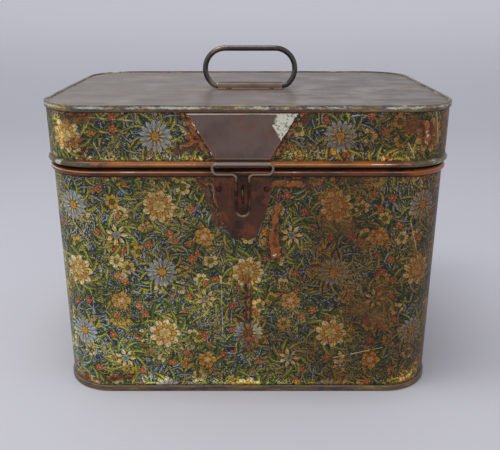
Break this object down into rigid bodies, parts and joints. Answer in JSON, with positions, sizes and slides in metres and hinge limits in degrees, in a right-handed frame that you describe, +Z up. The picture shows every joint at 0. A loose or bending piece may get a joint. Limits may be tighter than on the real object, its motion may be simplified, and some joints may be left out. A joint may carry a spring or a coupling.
{
  "type": "tin trunk",
  "caption": "Round-cornered tin trunk covered in printed paper, with a hinged lid, a swinging wire carry handle on top and a wire hasp over a staple.",
  "frame": {"origin": "on the floor under the middle of the trunk", "axes": "+X to the right along the length, +Y to the back, where the hinges are, +Z up; the front with the hasp faces -Y"},
  "size_m": [0.4014, 0.3084, 0.3491],
  "materials": {
    "japanned_tin": "brown japanned tinplate, satin, worn to rust on beads and seams",
    "printed_paper": "varnished printed paper, browned, rubbed and torn",
    "rubbed_paper": "varnished paper rubbed almost plain, satin",
    "iron_wire": "dark oxidised iron wire, satin",
    "rivet_iron": "iron rivets under worn brown varnish"
  },
  "bodies": {
    "box": {"body_wall_front": "japanned_tin", "body_wall_back": "japanned_tin", "body_bottom": "japanned_tin", "body_paper_front": "printed_paper", "body_paper_back": "printed_paper", "staple_plate": "japanned_tin", "staple": "iron_wire", "staple_plate_rivets": "rivet_iron", "hinge_left_body_leaf": "japanned_tin", "hinge_right_body_leaf": "japanned_tin", "hinge_left_pin": "iron_wire", "hinge_right_pin": "iron_wire", "hinge_body_rivets": "rivet_iron"},
    "lid": {"lid_wall_front": "japanned_tin", "lid_wall_back": "japanned_tin", "lid_top": "japanned_tin", "lid_paper_front": "printed_paper", "lid_paper_back": "printed_paper", "lid_top_paper": "rubbed_paper", "hasp_plate": "japanned_tin", "handle_saddle": "japanned_tin", "saddle_rivets": "rivet_iron", "hinge_left_lid_leaf": "japanned_tin", "hinge_right_lid_leaf": "japanned_tin", "hinge_lid_rivets": "rivet_iron"},
    "handle": {"carry_handle": "iron_wire"},
    "hasp": {"hasp_loop": "iron_wire"}
  },
  "joints": [
    {"name": "lid_hinge", "type": "hinge", "parent": "box", "child": "lid", "pos_m": [0, 0.1483, 0.24385], "axis": [-1, 0, 0], "range_deg": [0, 180]},
    {"name": "handle_swing", "type": "hinge", "parent": "lid", "child": "handle", "pos_m": [0.0022, -0.018, 0.30685], "axis": [1, 0, 0], "range_deg": [-90, 90]},
    {"name": "hasp_swing", "type": "hinge", "parent": "lid", "child": "hasp", "pos_m": [-0.0048, -0.14903, 0.2503], "axis": [-1, 0, 0], "range_deg": [0, 180]}
  ]
}
